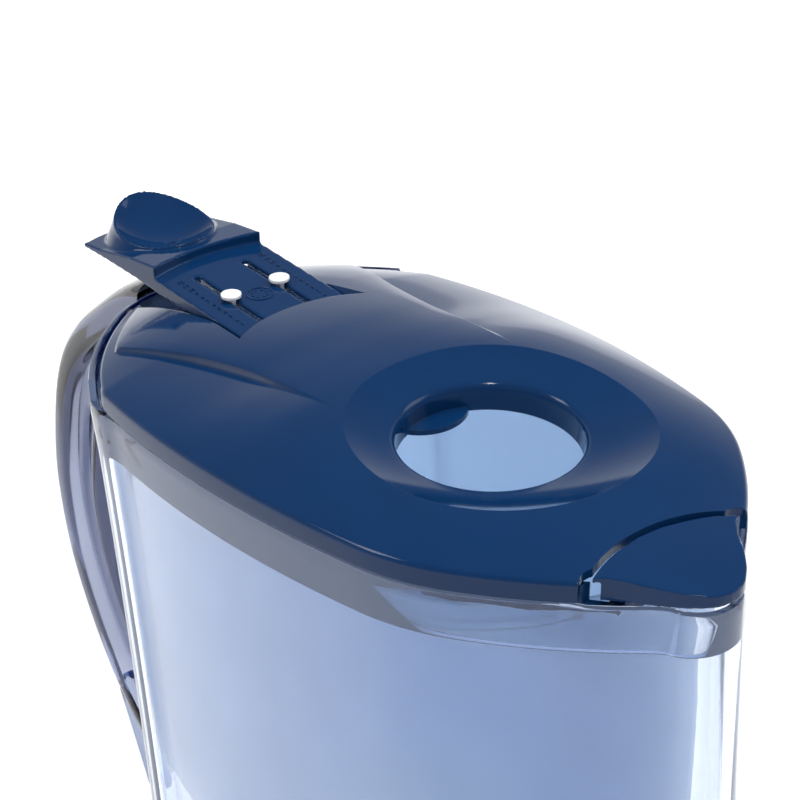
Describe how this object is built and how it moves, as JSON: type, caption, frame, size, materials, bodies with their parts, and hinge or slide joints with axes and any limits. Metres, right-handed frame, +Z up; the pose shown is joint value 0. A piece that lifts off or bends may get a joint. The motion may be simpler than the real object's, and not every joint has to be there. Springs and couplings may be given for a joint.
{
  "type": "water filter pitcher",
  "caption": "Oblong clear water filter pitcher with a D-handle, drop-in hopper and cartridge, lift-off domed lid with a fill hole, date sliders and a hinged spout flap.",
  "frame": {"origin": "on the underside of the base, straight below the centre of the lid's fill hole", "axes": "+X towards the spout, -X towards the handle, +Z up; the object is mirror-symmetric about the XZ plane"},
  "size_m": [0.2843, 0.11, 0.26],
  "materials": {
    "clear_plastic": "polished",
    "smoke_plastic": "polished, slightly see-through",
    "pale_blue_plastic": "see-through",
    "white_plastic": "satin",
    "seal_rubber": "matte",
    "felt": "matte",
    "carbon": "granular",
    "resin": "granular",
    "navy_gloss": "high gloss",
    "grey_plastic": "satin",
    "slider_white": "satin"
  },
  "bodies": {
    "jug": {"jug_shell": "clear_plastic", "handle_frame": "smoke_plastic"},
    "hopper": {"hopper": "pale_blue_plastic", "hopper_pan": "pale_blue_plastic", "hopper_socket": "pale_blue_plastic"},
    "cartridge": {"cartridge_body": "white_plastic", "cartridge_cap": "white_plastic", "cartridge_pull": "white_plastic", "cartridge_seal": "seal_rubber", "cartridge_foot": "white_plastic", "upper_screen": "felt", "lower_screen": "felt", "carbon_bed": "carbon", "resin_bed": "resin"},
    "lid": {"lid_shell": "navy_gloss", "lid_seat": "navy_gloss", "thumb_tongue": "grey_plastic"},
    "slider_near": {"slider_near": "slider_white"},
    "slider_far": {"slider_far": "slider_white"},
    "flap": {"spout_flap": "navy_gloss"}
  },
  "joints": [
    {"name": "hopper_lift", "type": "slide", "parent": "jug", "child": "hopper", "axis": [0, 0, 1], "range_m": [0, 0.18]},
    {"name": "cartridge_pull", "type": "slide", "parent": "hopper", "child": "cartridge", "axis": [0, 0, 1], "range_m": [0, 0.085]},
    {"name": "lid_lift", "type": "slide", "parent": "hopper", "child": "lid", "axis": [0, 0, 1], "range_m": [0, 0.12]},
    {"name": "flap_hinge", "type": "hinge", "parent": "lid", "child": "flap", "pos_m": [0.0648, 0, 0.2548], "axis": [0, -1, 0], "range_deg": [0, 65]},
    {"name": "slider_near_slide", "type": "slide", "parent": "lid", "child": "slider_near", "axis": [0.9976, 0, 0.0692], "range_m": [-0.015, 0.0125]},
    {"name": "slider_far_slide", "type": "slide", "parent": "lid", "child": "slider_far", "axis": [0.9976, 0, 0.0692], "range_m": [-0.015, 0.0125]}
  ]
}
